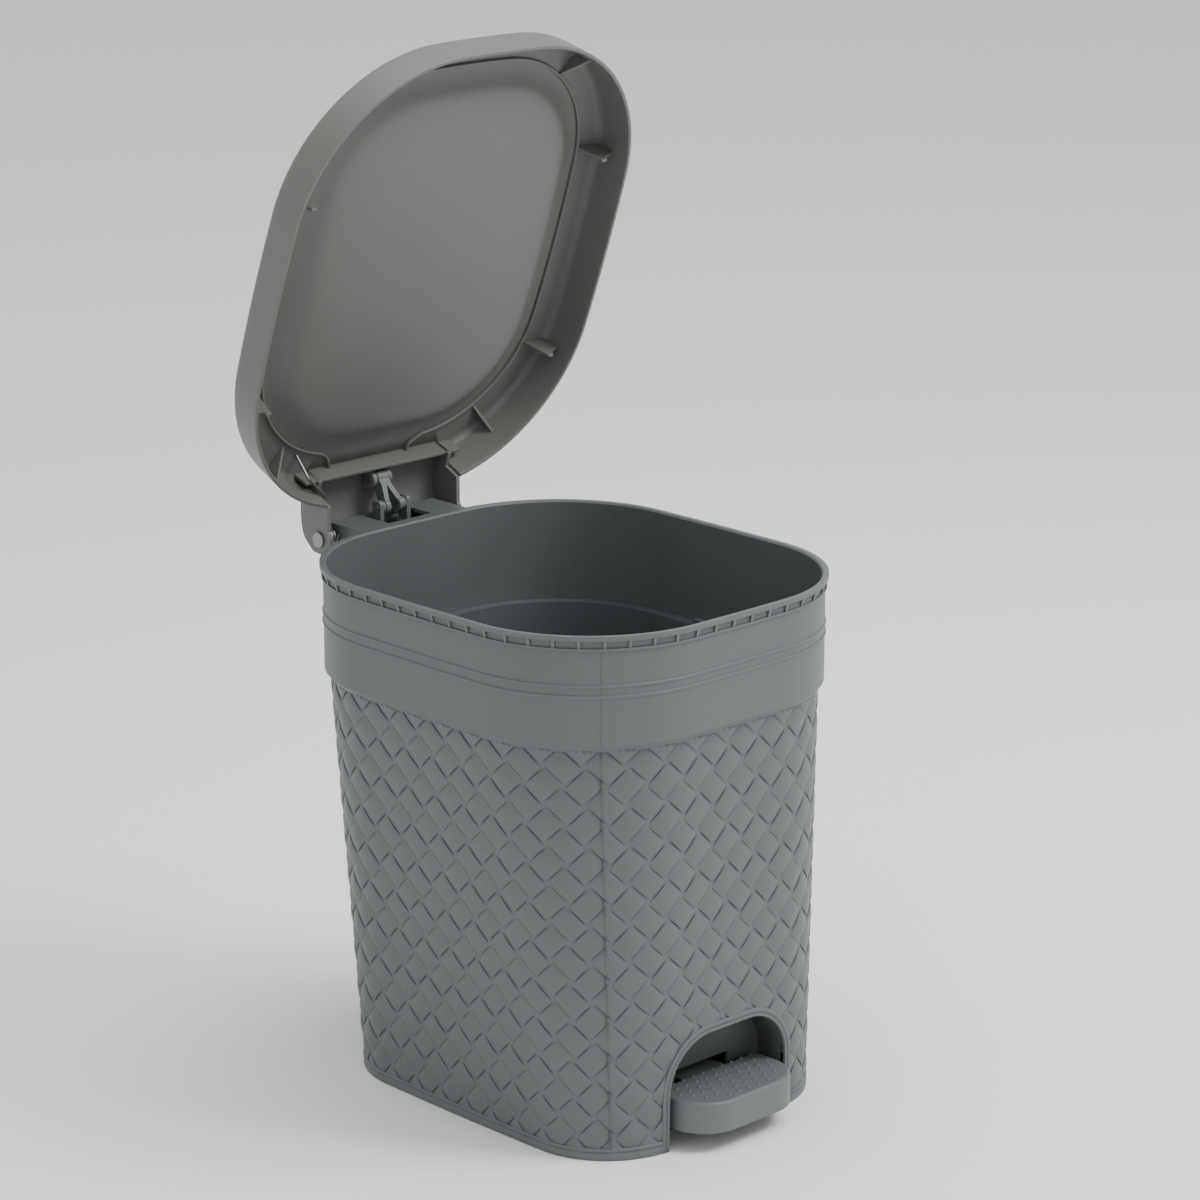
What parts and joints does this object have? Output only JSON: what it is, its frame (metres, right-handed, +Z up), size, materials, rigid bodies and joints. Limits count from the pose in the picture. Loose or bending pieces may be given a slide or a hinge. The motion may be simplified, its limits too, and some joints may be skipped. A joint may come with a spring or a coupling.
{
  "type": "pedal trash can",
  "caption": "Grey plastic pedal bin with a woven-look tapered body, a foot pedal in an arched niche, a rear-hinged lid shown open, and a lift-out bucket.",
  "frame": {"origin": "on the floor, under the middle of the rim", "axes": "+Z up; -Y is the front with the pedal, +Y the back with the hinge; +X is the right side seen from the back"},
  "size_m": [0.276, 0.351, 0.6432],
  "materials": {
    "body_plastic": "satin, finely grained polypropylene",
    "pedal_plastic": "satin polypropylene",
    "lid_plastic": "satin polypropylene",
    "bucket_plastic": "smooth satin polypropylene",
    "steel": "drawn, lightly dulled"
  },
  "bodies": {
    "bin": {"outer_body": "body_plastic", "rear_cover": "body_plastic", "rear_cover_screws": "steel", "rod_guide": "body_plastic", "pedal_axle": "steel", "axle_cap_left": "body_plastic", "axle_cap_right": "body_plastic", "axle_cap_screws": "steel", "hinge_pin_left": "steel", "hinge_pin_right": "steel"},
    "pedal": {"pedal": "pedal_plastic"},
    "push_rod": {"push_rod": "steel", "push_rod_clip": "steel", "push_rod_fork": "pedal_plastic", "link_lower_pins": "steel"},
    "link": {"lid_link": "pedal_plastic"},
    "lid": {"lid": "lid_plastic", "link_upper_pin": "steel", "lid_spring": "steel"},
    "bucket": {"inner_bucket": "bucket_plastic"},
    "bail": {"bucket_bail": "steel", "bail_grip": "bucket_plastic"}
  },
  "joints": [
    {"name": "lid_swing", "type": "hinge", "parent": "bin", "child": "lid", "pos_m": [0, 0.173, 0.322], "axis": [1, 0, 0], "range_deg": [0, 70], "stiffness_Nm_per_rad": 0.12, "springref_deg": -91.67},
    {"name": "pedal_press", "type": "hinge", "parent": "bin", "child": "pedal", "pos_m": [0, -0.02, 0.0225], "axis": [1, 0, 0], "range_deg": [-3.1, 0]},
    {"name": "rod_sway", "type": "hinge", "parent": "pedal", "child": "push_rod", "pos_m": [0, 0.16, 0.036], "axis": [1, 0, 0], "range_deg": [0, 4.13]},
    {"name": "link_swing", "type": "hinge", "parent": "push_rod", "child": "link", "pos_m": [0, 0.1679, 0.3353], "axis": [1, 0, 0], "range_deg": [0, 84.17]},
    {"name": "bucket_lift", "type": "slide", "parent": "bin", "child": "bucket", "axis": [0, 0, -1], "range_m": [-0.02, 0]},
    {"name": "bail_swing", "type": "hinge", "parent": "bucket", "child": "bail", "pos_m": [0, 0, 0.2666], "axis": [1, 0, 0], "range_deg": [-22, 0]}
  ],
  "couplings": [
    {"joint": "pedal_press", "follows": "lid_swing", "ratio": -0.044286},
    {"joint": "rod_sway", "follows": "lid_swing", "ratio": 0.059},
    {"joint": "link_swing", "follows": "lid_swing", "ratio": 1.2024}
  ]
}
